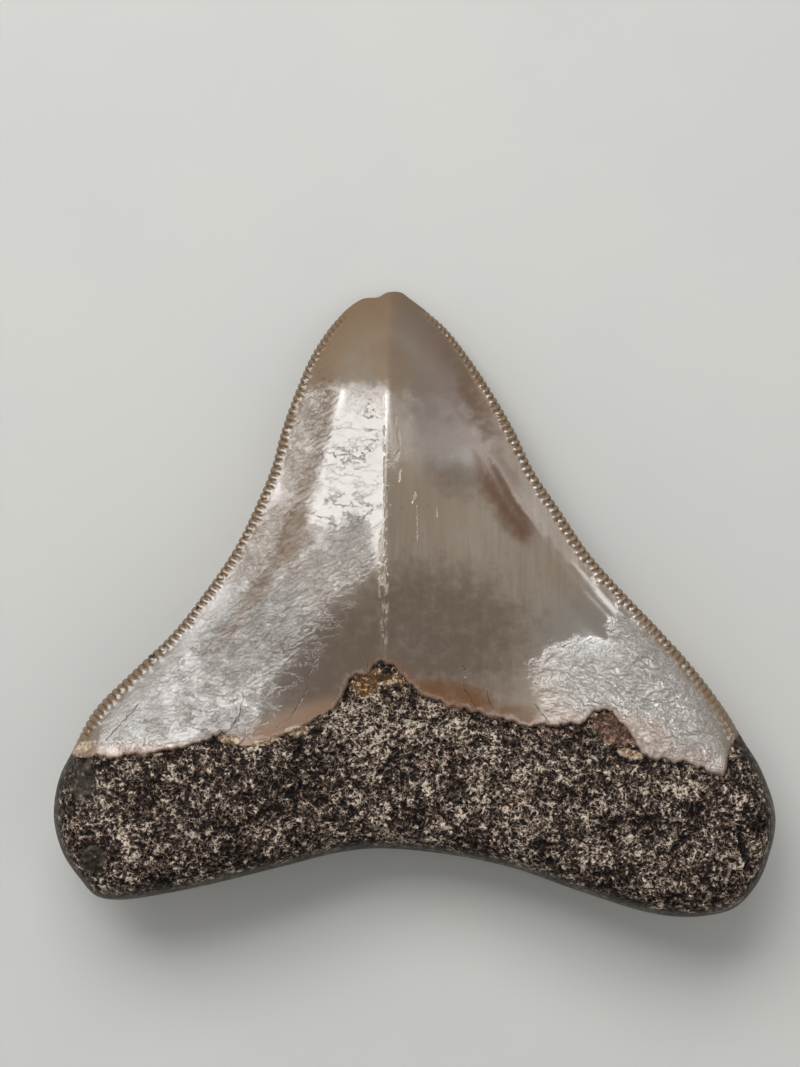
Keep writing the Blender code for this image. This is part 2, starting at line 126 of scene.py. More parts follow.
# The root is spongy dentine, so it is lumpy, and blood vessels left holes in its tongue face.
LUMP_SIZE, LUMP_HEIGHT, LUMP_SOFTNESS, LUMP_GAIN, RELIEF_FADE = 4.5, 0.35, 0.8, 2.0, 2.0
LIP_LUMPS, TONGUE_LUMPS = 0.0, 7.0  # seeds
FORAMINA = [(-1.6, -19.2, 0.9), (2.6, -8.6, 0.6), (-8.5, -19.5, 0.5)]
FORAMEN_DEPTH, FORAMEN_FLOOR, FORAMEN_BRIM = 1.0, 0.4, 1.4

# Spacing of the mesh: along the cutting edge and the root's rim, in the rows that follow them, and
# in the grids of the two faces.
OUTLINE_STEP, EDGE_STEP, RIM_STEP = 0.02, 0.07, 0.3
LIP_ROWS = [0.06, 0.13, 0.21, 0.3, 0.4, 0.52, 0.66, 0.82, 1.0, 1.2]
TONGUE_ROWS = [0.1, 0.25, 0.45, 0.7, 1.0]
ROOT_ROWS = [10.0, 20.0, 30.0, 40.0, 50.0, 60.0]  # degrees round the rounded margin
SPARSE_FROM = 0.5  # rows further in than this take every second place
LIP_ROOT_GRID, LIP_CROWN_GRID, TONGUE_ROOT_GRID, TONGUE_CROWN_GRID = 0.18, 0.45, 0.42, 0.75
ROOT_GRID_TOP_Y = -6.0
LINE_STEP, RIDGE_ROWS = 0.2, (0.15, 0.4)


def smooth_curve(knots, closed=False, steps=40):
    """Points along the centripetal Catmull-Rom curve through the knots."""
    p = np.array(knots, float)
    p = np.vstack((p[-1:], p, p[:2])) if closed else np.vstack((2 * p[0] - p[1], p, 2 * p[-1] - p[-2]))
    t = np.linspace(0, 1, steps, endpoint=False)[:, None]
    out = []
    for a, b, c, d in zip(p, p[1:], p[2:], p[3:]):
        ab, bc, cd = (math.sqrt(math.dist(u, v)) for u, v in ((a, b), (b, c), (c, d)))
        leave = c - b + (b - a - (c - a) * ab / (ab + bc)) * bc / ab
        arrive = c - b + (d - c - (d - b) * cd / (bc + cd)) * bc / cd
        out.append(
            b * (1 + t * t * (2 * t - 3)) + c * t * t * (3 - 2 * t)
            + leave * t * (1 - t) ** 2 - arrive * t * t * (1 - t)
        )
    return np.vstack(out) if closed else np.vstack((*out, p[-2:-1]))


def lengths_along(points):
    return np.concatenate(([0.0], np.cumsum(np.linalg.norm(np.diff(points, axis=0), axis=1))))


def at_length(points, wanted):
    """The points at these lengths along a line of points."""
    along = lengths_along(points)
    return np.column_stack([np.interp(wanted, along, points[:, i]) for i in (0, 1)])


def profile(knots):
    """A smooth function through (place, height) knots."""
    line = smooth_curve(sorted(knots))
    return lambda v: np.interp(v, line[:, 0], line[:, 1])


def smooth_step(v):
    v = np.clip(v, 0, 1)
    return v * v * (3 - 2 * v)


def tree_of(points):
    tree = kdtree.KDTree(len(points))
    for i, (x, y) in enumerate(points):
        tree.insert((x, y, 0), i)
    tree.balance()
    return tree


def nearest(tree, xy):
    """For each point, the index of the nearest point in the tree and how far it is."""
    found = [tree.find((x, y, 0))[1:] for x, y in xy]
    return np.array([i for i, _ in found]), np.array([off for _, off in found])


def fractal(xy, size, seed, octaves=3):
    """Soft random heights of about -1 to 1 over the plan."""
    spots = [Vector((x / size, y / size, seed)) for x, y in xy]
    return np.array([noise.fractal(spot, LUMP_SOFTNESS, LUMP_GAIN, octaves) for spot in spots])


# The outline as a dense line, with its inward direction at each point.
whole = smooth_curve(CUTTING_EDGE + ROOT_MARGIN, closed=True)
whole = np.vstack((whole, whole[:1]))
outline_length = lengths_along(whole)[-1]
places = np.arange(0, outline_length, OUTLINE_STEP)
outline = at_length(whole, places)
ahead = np.roll(outline, -1, 0) - np.roll(outline, 1, 0)
inward = ahead[:, ::-1] * (1, -1) / np.linalg.norm(ahead, axis=1)[:, None]
outline_tree = tree_of(outline)
tip = outline[:, 1].argmax()
edge_length = places[nearest(outline_tree, ROOT_MARGIN[:1])[0][0]]
edge_tree = tree_of(outline[places < edge_length])


def inset_points(at, depth):
    """The points this far in from these places along the outline."""
    i = np.round(np.asarray(at) / OUTLINE_STEP).astype(int) % len(outline)
    return outline[i] + inward[i] * np.reshape(depth, (-1, 1))


def half_width(y):
    """Half the crown's width at each y."""
    left, right = outline[: tip + 1], outline[tip:]
    right = right[right[:, 1].argsort()][:, ::-1]
    right = right[right[:, 0] > CUTTING_EDGE[-1][1]]
    return (np.interp(y, *right.T) - np.interp(y, left[:, 1], left[:, 0])) / 2


def unworn(place):
    """1 where the serrations are whole, and 0 at the worn tip and the two ends of the edge."""
    from_tip = place - places[tip]
    ends = smooth_step(place / WORN_LEFT_END) * smooth_step((edge_length - place) / WORN_RIGHT_END)
    return ends * np.maximum(smooth_step(-from_tip - WORN_BEFORE_TIP), smooth_step(from_tip - WORN_AFTER_TIP))


def irregular(knots):
    """A border line through the knots, chipped along its length, and its height as a function of x."""
    line = smooth_curve(knots)
    line = at_length(line, np.arange(0, lengths_along(line)[-1], LINE_STEP / 2))
    for size, depth, seed in BORDER_CHIPS:
        line[:, 1] += depth * fractal(line, size, seed)
    return line, lambda x: np.interp(x, line[:, 0], line[:, 1])


lip_line, lip_border = irregular(LIP_BORDER)
tongue_line, tongue_border = irregular(TONGUE_BORDER)
foot_line, bourlette_foot = irregular(BOURLETTE_FOOT)
lip, below, fall, groove = map(profile, (LIP_PROFILE, RIM_BELOW_LIP, FALL_TO_EDGE, GROOVE))
tongue, tongue_sides = map(profile, (TONGUE_PROFILE, TONGUE_SIDES))


def ridge(xy):
    middle = np.interp(xy[:, 1], (RIDGE_FOOT[1], RIDGE_HEAD[1]), (RIDGE_FOOT[0], RIDGE_HEAD[0]))
    foot = smooth_step((xy[:, 1] - RIDGE_FOOT[1]) / RIDGE_FADE_AT_FOOT)
    head = smooth_step((RIDGE_HEAD[1] - xy[:, 1]) / RIDGE_FADE_AT_HEAD)
    off = np.abs(xy[:, 0] - middle) / RIDGE_HALF_WIDTH
    return RIDGE_HEIGHT * foot * head * np.clip(1 - off, 0, 1) ** RIDGE_SHARPNESS


def lip_form(xy):
    """The lip face as it would be with no rounding at the root's margin."""
    _, from_edge = nearest(edge_tree, xy)
    down = np.clip((FLARE_TOP_Y - xy[:, 1]) / (FLARE_TOP_Y - FLARE_BOTTOM_Y), 0, 1)
    wing = smooth_step((np.abs(xy[:, 0]) - FLARE_INNER) / (FLARE_OUTER - FLARE_INNER))
    grooved = smooth_step((xy[:, 1] - GROOVE_ENDS_Y) / (GROOVE_WHOLE_Y - GROOVE_ENDS_Y))
    to_edge = fall(from_edge) - groove(from_edge) * grooved
    return lip(xy[:, 1]) - to_edge + FLARE_HEIGHT * down**FLARE_CURVE * wing + ridge(xy)


def rim_height(xy):
    return lip_form(xy) - below(xy[:, 1])


def beyond(line, border, xy):
    """Distance from a border line, positive on the side of the tip."""
    _, off = nearest(tree_of(line), xy)
    return off * np.sign(xy[:, 1] - border(xy[:, 0]))


def lip_height(xy, inset, border):
    rounding = 1 - (1 - np.clip(inset / LIP_ROUNDING, 0, 1)) ** 2
    above = below(xy[:, 1]) * rounding**ROOT_ROUNDNESS
    bare = 1 - smooth_step(border / STEP_RUN + 0.5)
    lumps = LUMP_HEIGHT * fractal(xy, LUMP_SIZE, LIP_LUMPS)
    return rim_height(xy) + above + bare * (lumps - ENAMEL_STEP) * np.minimum(inset / RELIEF_FADE, 1)


def tongue_height(xy, inset, border, foot):
    rootward = smooth_step((BLADE_ENDS_Y - xy[:, 1]) / (BLADE_ENDS_Y - ROUND_STARTS_Y))
    reach = np.clip(half_width(xy[:, 1]), LEAST_BEVEL, TONGUE_BEVEL) * (1 - rootward)
    reach = reach + TONGUE_ROUNDING * rootward
    power = CROWN_ROUNDNESS * (1 - rootward) + ROOT_ROUNDNESS * rootward
    run_in = (1 - (1 - np.clip(inset / reach, 0, 1)) ** 2) ** power
    swell = np.exp(-(np.abs(xy[:, 0] / BULGE_HALF_WIDTH) ** BULGE_FLATNESS))
    full = tongue_sides(xy[:, 1]) * (1 - swell) + tongue(xy[:, 1]) * swell
    rim = rim_height(xy)
    bare = 1 - smooth_step(border / STEP_RUN + 0.5)
    root = 1 - smooth_step(foot / STEP_RUN + 0.5)
    relief = bare * (1 - root) * BOURLETTE_DEPTH + root * LUMP_HEIGHT * fractal(xy, LUMP_SIZE, TONGUE_LUMPS)
    z = rim - (rim - full) * run_in + relief * np.minimum(inset / RELIEF_FADE, 1)
    for x, y, radius in FORAMINA:
        off = np.hypot(xy[:, 0] - x, xy[:, 1] - y) / radius
        z = z + FORAMEN_DEPTH * smooth_step((FORAMEN_BRIM - off) / (FORAMEN_BRIM - FORAMEN_FLOOR))
    return np.maximum(z, 0.0)


def hex_grid(spacing, y_from=-math.inf, y_to=math.inf):
    (left, low), (right, high) = outline.min(0), outline.max(0)
    across = np.arange(left, right, spacing)
    rows = np.arange(max(y_from, low), min(y_to, high), spacing * math.sqrt(0.75))
    return np.array([(x + spacing / 2 * (i % 2), y) for i, y in enumerate(rows) for x in across])


def beside(line, half_gap, step=LINE_STEP):
    """Two rows of points, either side of a line."""
    spots = at_length(line, np.arange(0, lengths_along(line)[-1], step))
    along = np.gradient(spots, axis=0)
    across = half_gap * along[:, ::-1] * (1, -1) / np.linalg.norm(along, axis=1)[:, None]
    return [spots + across, spots - across]


def keep_inside(xy, inset):
    """The points that lie inside the outline by this much or more."""
    near, off = nearest(outline_tree, xy)
    inside = ((xy - outline[near]) * inward[near]).sum(1) > 0
    return xy[inside & (off > inset)]


def plan_points(rows, border_rows, grids, from_rows, from_border):
    """The points of one face in plan: rows at the rim, rows along its borders, and its grids."""
    border_rows = keep_inside(np.vstack(border_rows), from_rows)
    grid = keep_inside(np.vstack(grids), from_rows)
    _, off = nearest(tree_of(border_rows), grid)
    return np.vstack((*rows, border_rows, grid[off > from_border]))


# The rim: close-set points along the cutting edge, wider ones round the root.
edge_places = np.arange(0, edge_length, EDGE_STEP)
rim_places = np.arange(edge_length, outline_length - RIM_STEP / 2, RIM_STEP)
rim = np.vstack((inset_points(edge_places, 0.0), inset_points(rim_places, 0.0)))


def rows_inside(insets, rounding):
    rows = [inset_points(edge_places[:: 1 + (inset > SPARSE_FROM)], inset) for inset in insets]
    for angle in ROOT_ROWS:
        rows.append(inset_points(rim_places, rounding * (1 - math.cos(math.radians(angle)))))
    return rows


ridge_line = np.array((RIDGE_HEAD, RIDGE_FOOT))
ridge_rows = [row for half_gap in RIDGE_ROWS for row in beside(ridge_line, half_gap)]
lip_plan = plan_points(
    rows_inside(LIP_ROWS, LIP_ROUNDING),
    [lip_line, *beside(lip_line, STEP_RUN / 2), *ridge_rows],
    [hex_grid(LIP_ROOT_GRID, y_to=ROOT_GRID_TOP_Y), hex_grid(LIP_CROWN_GRID, y_from=ROOT_GRID_TOP_Y)],
    from_rows=1.4, from_border=0.12,
)
tongue_plan = plan_points(
    rows_inside(TONGUE_ROWS, TONGUE_ROUNDING),
    [*beside(tongue_line, STEP_RUN / 2), *beside(foot_line, STEP_RUN / 2)],
    [hex_grid(TONGUE_ROOT_GRID, y_to=ROOT_GRID_TOP_Y), hex_grid(TONGUE_CROWN_GRID, y_from=ROOT_GRID_TOP_Y)],
    from_rows=1.2, from_border=0.2,
)


# The beads of the cutting edge are smaller and closer together towards the tip.
SMALL_BEAD, TIP_CLOSENESS, FULL_BEADS_FROM_TIP = 0.55, 0.2, 22.0
closeness = 1 + TIP_CLOSENESS * (1 - smooth_step(np.abs(places - places[tip]) / FULL_BEADS_FROM_TIP))
beads_along = np.cumsum(closeness) * OUTLINE_STEP


def surface_facts(xy, side):
    """What later steps need to know of each point, by attribute name."""
    near, inset = nearest(outline_tree, xy)
    from_tip = np.abs(places[near] - places[tip])
    facts = {"along": beads_along[near], "inset": inset, "unworn": unworn(places[near])}
    facts["grown"] = SMALL_BEAD + (1 - SMALL_BEAD) * smooth_step(from_tip / FULL_BEADS_FROM_TIP)
    facts["inward"] = np.column_stack((inward[near], np.zeros(len(xy))))
    facts["side"] = np.full(len(xy), float(side))
    line, border = (tongue_line, tongue_border) if side < 0 else (lip_line, lip_border)
    facts["enamel"] = beyond(line, border, xy)
    facts["foot"] = beyond(foot_line, bourlette_foot, xy) if side < 0 else facts["enamel"]
    return facts


def add_face(mesh, start, xy, up):
    """Joins the rim and a face's inner points in plan, and adds the triangles to the mesh."""
    plan = [Vector(p) for p in np.vstack((rim, xy))]
    loop = [(i, (i + 1) % len(rim)) for i in range(len(rim))]
    _, _, triangles, source, _, _ = geometry.delaunay_2d_cdt(plan, loop, [], 1, 1e-7)
    for triangle in triangles:
        corners = [source[i][0] for i in (triangle if up else triangle[::-1])]
        mesh.append([c if c < len(rim) else c - len(rim) + start for c in corners])


lip_facts, tongue_facts, rim_facts = (
    surface_facts(lip_plan, 1), surface_facts(tongue_plan, -1), surface_facts(rim, 0)
)
lip_z = lip_height(lip_plan, lip_facts["inset"], lip_facts["enamel"])
tongue_z = tongue_height(tongue_plan, tongue_facts["inset"], tongue_facts["enamel"], tongue_facts["foot"])
points = np.vstack((
    np.column_stack((rim, rim_height(rim))),
    np.column_stack((lip_plan, lip_z)),
    np.column_stack((tongue_plan, tongue_z)),
))
triangles = []
add_face(triangles, len(rim), lip_plan, True)
add_face(triangles, len(rim) + len(lip_plan), tongue_plan, False)

body = bpy.data.meshes.new("fossil_tooth")
body.from_pydata((points * MM).tolist(), [], triangles)
body.shade_smooth()
facts = {name: np.concatenate([f[name] for f in (rim_facts, lip_facts, tongue_facts)]) for name in lip_facts}
facts["rest"] = points
for name, values in facts.items():
    kind = "FLOAT_VECTOR" if values.ndim == 2 else "FLOAT"
    attribute = body.attributes.new(name, kind, "POINT")
    field = "vector" if values.ndim == 2 else "value"
    attribute.data.foreach_set(field, values.astype(np.float32).ravel())
tooth = bpy.data.objects.new("fossil_tooth", body)
bpy.context.scene.collection.objects.link(tooth)

# ------------------------------------------------------------------------------------------------
# Enamel. A hard glassy skin over the crown, stained grey-brown by the ground it lay in. It is
# polished and finely crinkled, matt at the tip, and stained orange and red where it ends. Its colour
# also holds painted shade: darker where it mirrors the dark room, in the notches and along its end.
# ------------------------------------------------------------------------------------------------
# Colours are the 8-bit ones that they show as.
TAN, PALE_TAN, STREAK_TAN, WARM_TAN = (127, 112, 96), (141, 127, 112), (156, 142, 128), (136, 118, 97)
TIP_BROWN, TIP_RIGHT_SHADE = (114, 88, 54), (94, 69, 44)
END_BROWN, END_PAINTED_SHADOW = (128, 92, 66), (50, 33, 24)
BEAD_TAN, RUBBED_RUST, NOTCH_SHADE = (124, 99, 70), (112, 74, 52), (52, 34, 22)
CHIP_AND_GLINT_CREAM, CRACK_BROWN = (192, 172, 146), (52, 38, 30)
GLINT_CREAM, SPECK_BLACK = (222, 200, 184), (20, 15, 12)
CRUST_BROWN, CRUST_CREAM = (146, 114, 86), (220, 200, 174)
# The enamel turns matt between these, sharply on the left of the ridge and slowly on the right.
TIP_MATT_Y, RIGHT_MATT_Y = (20.8, 22.8), (11.5, 22.0)
GLOSSY, TIP_MATT, BEAD_GLOSS, ENAMEL_IOR = 0.12, 0.65, 0.2, 1.62

# Stains, and painted shade, in the order in which they lie over each other: the most that each
# covers, how soft its edge is, its colour, and its patches, as (x, y, half length, half width, turn in
# degrees, strength).
STAINS_AND_SHADE = {
    "grey": (0.85, 1.0, (122, 116, 107), [
        (-20.0, -7.0, 14.0, 7.0, 40, 1.0), (22.0, -8.0, 12.0, 6.0, -42, 1.0),
        (-6.5, 12.0, 12.0, 3.5, 85, 0.7),
    ]),
    # Painted shade, not a stain: darker where the glossy enamel mirrors the dark room overhead, at the middle
    # of its base, the inner left wing, the top of the right facet and the right of the tip.
    "dark": (0.85, 1.0, (92, 77, 64), [
        (2.0, -2.5, 10.0, 6.5, -10, 0.8), (-8.0, -5.5, 7.0, 5.0, 35, 0.9),
        (2.0, 26.5, 5.0, 3.6, -55, 0.7), (3.2, 18.0, 7.0, 3.6, -75, 0.95),
    ]),
    # Partly a brown stain and partly painted shade: the groove beside the left bevel, darkened on down onto
    # the left wing.
    "brown": (1.0, 1.0, (112, 86, 60), [
        (-12.3, 6.8, 3.2, 1.4, 72, 1.0), (-10.8, 12.5, 5.0, 0.8, 72, 0.6),
        (-8.6, 19.5, 4.0, 0.7, 75, 0.6), (-15.4, 1.6, 3.6, 0.8, 52, 0.7),
        (-18.8, -3.0, 3.0, 0.7, 45, 0.5),
    ]),
    "umber": (1.0, 1.1, (96, 66, 44), [
        (2.3, 24.8, 3.6, 1.7, -78, 0.55), (6.1, 18.4, 4.0, 2.1, -66, 0.7),
        (8.2, 12.4, 4.0, 2.1, -64, 0.95), (10.0, 8.6, 3.0, 1.6, -58, 1.0),
    ]),
    "pink": (0.75, 1.2, (158, 124, 100), [
        (-13.0, -12.2, 6.5, 1.4, 24, 0.9), (22.5, -12.6, 3.6, 1.8, -25, 0.7),
        (-29.0, -14.6, 6.0, 0.9, 4, 0.9), (27.5, -15.0, 3.5, 0.9, -12, 0.5),
        (15.0, -11.2, 3.0, 0.9, 0, 0.6),
    ]),
    "orange": (1.0, 1.3, (110, 72, 36), [
        (4.0, -9.2, 4.8, 1.5, -14, 1.0), (11.0, -11.2, 4.5, 1.2, -3, 0.75),
        (-2.0, -7.2, 2.2, 1.0, -35, 1.0),
    ]),
}
# Textures, as patches of the same kind: fine ripples like scales, folds, brushed lines, a dull
# bevel, and the pale crust left along the enamel's end.
TEXTURES = {
    "crinkled": [
        (-10.5, 3.6, 5.0, 4.0, 35, 0.9), (-16.2, -3.2, 8.5, 4.2, 45, 1.0), (-23.5, -9.0, 9.0, 4.0, 38, 0.6),
        (-10.5, 17.0, 9.0, 2.0, 78, 0.9), (-14.5, 5.5, 8.0, 2.2, 60, 1.0), (-6.5, 13.0, 10.0, 4.5, 85, 0.22),
        (-5.9, 5.6, 1.9, 3.4, 0, 0.9), (-18.6, -12.0, 3.2, 1.8, 20, 0.8),
    ],
    "creased": [
        (-6.5, 14.9, 3.0, 0.8, 4, 1.0), (-4.4, 18.3, 2.2, 0.5, 96, 1.0), (-7.0, 9.0, 3.6, 1.8, 8, 0.9),
        (-9.6, 20.0, 2.6, 0.9, 70, 1.0), (-6.5, 14.0, 9.0, 4.0, 85, 0.2), (-20.0, -8.0, 15.0, 5.0, 42, 0.6),
    ],
    "dappled": [
        (21.3, -10.0, 9.0, 4.4, -25, 1.0), (26.0, -11.0, 6.0, 4.0, -45, 1.0),
        (23.5, -5.8, 5.0, 2.0, -45, 1.0),
    ],
    "matt": [(9.9, 15.2, 12.0, 2.0, -60, 1.0), (-29.5, -12.5, 4.5, 1.2, 55, 0.5)],
    "crusted": [
        (-18.3, -13.4, 1.2, 0.5, -10, 0.9), (-15.0, -13.6, 1.9, 0.3, 12, 0.8),
        (-11.6, -12.6, 1.15, 0.55, 5, 1.0), (-33.0, -14.2, 1.6, 0.6, 25, 0.7),
        (21.3, -14.8, 1.4, 0.45, -14, 1.0), (-2.5, -7.8, 1.3, 0.25, 10, 0.8),
        (-26.0, -14.9, 3.0, 0.2, 5, 0.6),
    ],
}
# The ridge is worn along its lower half, and small pale chipped spots lie beside its upper half, their
# paleness partly a painted highlight, as (x, y, half length, half width, turn in degrees).
WORN_RIDGE = [(-3.1, 1.2, 5.6, 0.45, 91), (-2.95, 12.0, 7.0, 0.14, 91)]
CHIPS_AND_GLINTS = [
    (-1.85, 18.5, 0.5, 0.12, 85), (-1.55, 16.7, 0.7, 0.15, 100), (-1.75, 14.9, 0.45, 0.16, 70),
    (-1.45, 13.1, 0.6, 0.12, 80), (-0.05, 10.6, 0.5, 0.12, 75), (0.25, 7.9, 1.4, 0.06, 91),
    (2.25, 9.2, 0.4, 0.08, 88),
]
BLACK_SPECKS = [(-26.2, -5.2, 0.32, 0.24, 40), (-21.7, -0.4, 0.18, 0.16, 40)]
# Hairline cracks, as (x, y) to (x, y), half width.
CRACKS = [
    (-10.3, -6.5, -10.9, -9.2, 0.025), (-10.9, -9.2, -12.1, -11.0, 0.04), (-12.1, -11.0, -13.6, -12.3, 0.03),
    (-16.9, -8.8, -17.3, -10.8, 0.02), (-17.3, -10.8, -18.1, -12.2, 0.045),
    (-18.1, -12.2, -19.5, -13.2, 0.03),
    (-30.6, -13.5, -27.4, -10.0, 0.025), (4.75, -6.2, 5.0, -8.4, 0.035), (5.0, -8.4, 6.2, -10.6, 0.03),
    (7.2, -8.6, 7.7, -10.5, 0.03), (12.1, -10.1, 13.4, -11.9, 0.03), (-4.9, -4.6, -4.7, -6.8, 0.03),
]


class Value:
    """A socket of a node tree that sums can be written with."""

    def __init__(self, tree, socket):
        self.tree, self.socket = tree, socket

    def __add__(self, other):
        return sum_of(self.tree, "ADD", self, other)

    def __sub__(self, other):
        return sum_of(self.tree, "SUBTRACT", self, other)

    def __rsub__(self, other):
        return sum_of(self.tree, "SUBTRACT", other, self)

    def __mul__(self, other):
        return sum_of(self.tree, "MULTIPLY", self, other)

    def __truediv__(self, other):
        return sum_of(self.tree, "DIVIDE", self, other)

    def __rtruediv__(self, other):
        return sum_of(self.tree, "DIVIDE", other, self)

    __radd__, __rmul__ = __add__, __mul__


def node(tree, kind, *inputs, **settings):
    """Adds a node. Its inputs are links or plain values in order, or by name in a dictionary."""
    made = tree.nodes.new(kind)
    for name, value in settings.items():
        setattr(made, name, value)
    named = [pair for given in inputs if isinstance(given, dict) for pair in given.items()]
    given = [value for value in inputs if not isinstance(value, dict)]
    for key, value in [*enumerate(given), *named]:
        if isinstance(value, Value):
            tree.links.new(value.socket, made.inputs[key])
        elif value is not None:
            made.inputs[key].default_value = value
    return made


def output_of(tree, kind, *inputs, **settings):
    """Adds a node, and gives its first output."""
    return Value(tree, node(tree, kind, *inputs, **settings).outputs[0])


def sum_of(tree, operation, *terms):
    return output_of(tree, "ShaderNodeMath", *terms, operation=operation)


def largest(tree, one, other):
    return sum_of(tree, "MAXIMUM", one, other)


def step_between(value, low, high, start=0.0, end=1.0):
    """Runs smoothly from start to end as the value goes from low to high."""
    inputs = {"Value": value, "From Min": low, "From Max": high, "To Min": start, "To Max": end}
    return output_of(value.tree, "ShaderNodeMapRange", inputs, interpolation_type="SMOOTHSTEP")


def vector_of(tree, x, y, z):
    return output_of(tree, "ShaderNodeCombineXYZ", x, y, z)


def parts_of(tree, vector):
    return [Value(tree, part) for part in node(tree, "ShaderNodeSeparateXYZ", vector).outputs]


def scaled(tree, vector, length):
    return output_of(tree, "ShaderNodeVectorMath", {0: vector, "Scale": length}, operation="SCALE")


def added(tree, one, other):
    return output_of(tree, "ShaderNodeVectorMath", one, other, operation="ADD")


def stretched(tree, vector, x, y, z):
    return output_of(tree, "ShaderNodeVectorMath", vector, (x, y, z), operation="MULTIPLY")


def turned(tree, vector, degrees):
    return output_of(tree, "ShaderNodeVectorRotate", {"Vector": vector, "Angle": math.radians(degrees)})


def clouds(tree, where, scale=1.0, detail=2.0, roughness=0.5, distortion=0.0):
    """Soft noise of about 0.2 to 0.8, with this many patches to each unit of length."""
    return output_of(tree, "ShaderNodeTexNoise", {
        "Vector": where, "Scale": scale, "Detail": detail, "Roughness": roughness, "Distortion": distortion,
    })


def folds(tree, where, scale=1.0, detail=2.0, roughness=0.5, distortion=0.0):
    """Winding lines where this is 0, with soft rises between them."""
    return sum_of(tree, "ABSOLUTE", clouds(tree, where, scale, detail, roughness, distortion) - 0.5)


def shown(colour):
    """The light that shows as this 8-bit colour."""
    steps = (v / 255 for v in colour)
    return (*(v / 12.92 if v < 0.04045 else ((v + 0.055) / 1.055) ** 2.4 for v in steps), 1.0)


def mixed(tree, share, one, other):
    """One colour, and the other where share is 1. Each is a link, a tint or an 8-bit colour."""
    one, other = (shown(c) if isinstance(c, tuple) and len(c) == 3 else c for c in (one, other))
    made = node(tree, "ShaderNodeMix", {0: share, 6: one, 7: other}, data_type="RGBA")
    return Value(tree, made.outputs[2])


def painted_fact(tree, name, kind="Fac"):
    """What an attribute of the mesh holds, in a material."""
    return Value(tree, node(tree, "ShaderNodeAttribute", attribute_name=name).outputs[kind])


def material_tree(material):
    material.use_nodes = True
    tree = material.node_tree
    for old in list(tree.nodes):
        tree.nodes.remove(old)
    return tree


def finish_material(tree, colour, roughness, normal, **plain):
    """Ends a material with its shader. The plain values are set on its sockets by name."""
    settings = {name.replace("_", " "): value for name, value in plain.items()}
    inputs = {"Base Color": colour, "Roughness": roughness, "Normal": normal, **settings}
    shader = node(tree, "ShaderNodeBsdfPrincipled", inputs)
    node(tree, "ShaderNodeOutputMaterial", Value(tree, shader.outputs[0]))


def bumped(tree, height):
    """The normal of a surface with this height in millimetres over it."""
    return output_of(tree, "ShaderNodeBump", {"Height": height, "Strength": 1.0, "Distance": MM})


def add_fact(name, values):
    attribute = tooth.data.attributes.new(name, "FLOAT", "POINT")
    attribute.data.foreach_set("value", values.astype(np.float32))


def add_patches(name, spots):
    """Stores soft oval patches on the lip face, 0 to 1, under this name."""
    total = np.zeros(len(points))
    for x, y, half_length, half_width, turn, strength in spots:
        c, s = math.cos(math.radians(turn)), math.sin(math.radians(turn))
        off = points[:, :2] - (x, y)
        u, v = off @ (c, s) / half_length, off @ (-s, c) / half_width
        total = np.maximum(total, strength * smooth_step(1.5 - np.hypot(u, v)))
    add_fact(name, total * (facts["side"] >= 0))


for name, (*_, spots) in STAINS_AND_SHADE.items():
    add_patches(name, spots)
for name, spots in TEXTURES.items():
    add_patches(name, spots)

enamel = bpy.data.materials.new("tooth_enamel")
tree = material_tree(enamel)
where = painted_fact(tree, "rest", "Vector")
x, y, _ = parts_of(tree, where)
lip_side = step_between(painted_fact(tree, "side"), -0.6, 0.0)
wander = (clouds(tree, where, 0.9, 5.0, 0.65) - 0.5) * 2.0

# The skin itself: soft streaks from the root to the tip, and a browner tip.
streaks = clouds(tree, stretched(tree, where, 1.1, 0.07, 0.3), detail=3.0)
fine_streaks = clouds(tree, stretched(tree, where, 4.0, 0.3, 1.0))
broad = clouds(tree, where, 0.12)
colour = mixed(tree, step_between(streaks, 0.25, 0.75), TAN, PALE_TAN)
colour = mixed(tree, step_between(fine_streaks, 0.4, 0.8) * 0.3, colour, STREAK_TAN)
colour = mixed(tree, step_between(broad, 0.35, 0.65) * 0.5, colour, WARM_TAN)
tip_side = step_between(y + wander * 1.2, TIP_MATT_Y[0] - 1.0, TIP_MATT_Y[1])
colour = mixed(tree, tip_side, colour, TIP_BROWN)
right_of_ridge = step_between(x + wander * 0.2, -2.9, -2.0) * lip_side
# Painted shade: the tip is darker right of the ridge, where its facet mirrors less light.
colour = mixed(tree, tip_side * right_of_ridge * 0.6, colour, TIP_RIGHT_SHADE)
# The stains, and the painted shade of "dark", laid over the skin.
for name, (most, full_at, stain_and_shade_colour, _) in STAINS_AND_SHADE.items():
    share = step_between(painted_fact(tree, name) + wander * 0.6, 0.05, full_at) * most
    colour = mixed(tree, share, colour, stain_and_shade_colour)

# Its end towards the root, with a painted shadow line along it, and its beaded edge, with painted shade in
# the notches between the beads.
enamel_end = painted_fact(tree, "enamel") + wander * 0.9
colour = mixed(tree, step_between(enamel_end, 1.0, 0.1) * 0.5, colour, END_BROWN)
# Painted shadow: a near-black line along the enamel's end, where it steps down to the root.
colour = mixed(tree, step_between(enamel_end, 0.25, -0.2) * 0.8, colour, END_PAINTED_SHADOW)
inset = painted_fact(tree, "inset") + wander * 0.25
unworn_here = step_between(painted_fact(tree, "unworn"), 0.0, 0.6)
beads = step_between(inset / painted_fact(tree, "grown"), 1.35, 0.95) * (0.15 + 0.85 * unworn_here)
colour = mixed(tree, beads * 0.85, colour, BEAD_TAN)
wing_edge = (1 - unworn_here) * step_between(y, 5.0, 0.0)
colour = mixed(tree, step_between(inset, 0.95, 0.55) * wing_edge, colour, RUBBED_RUST)
# Painted shade: darker in the notches between the beads.
colour = mixed(tree, painted_fact(tree, "notch") * 0.95, colour, NOTCH_SHADE)


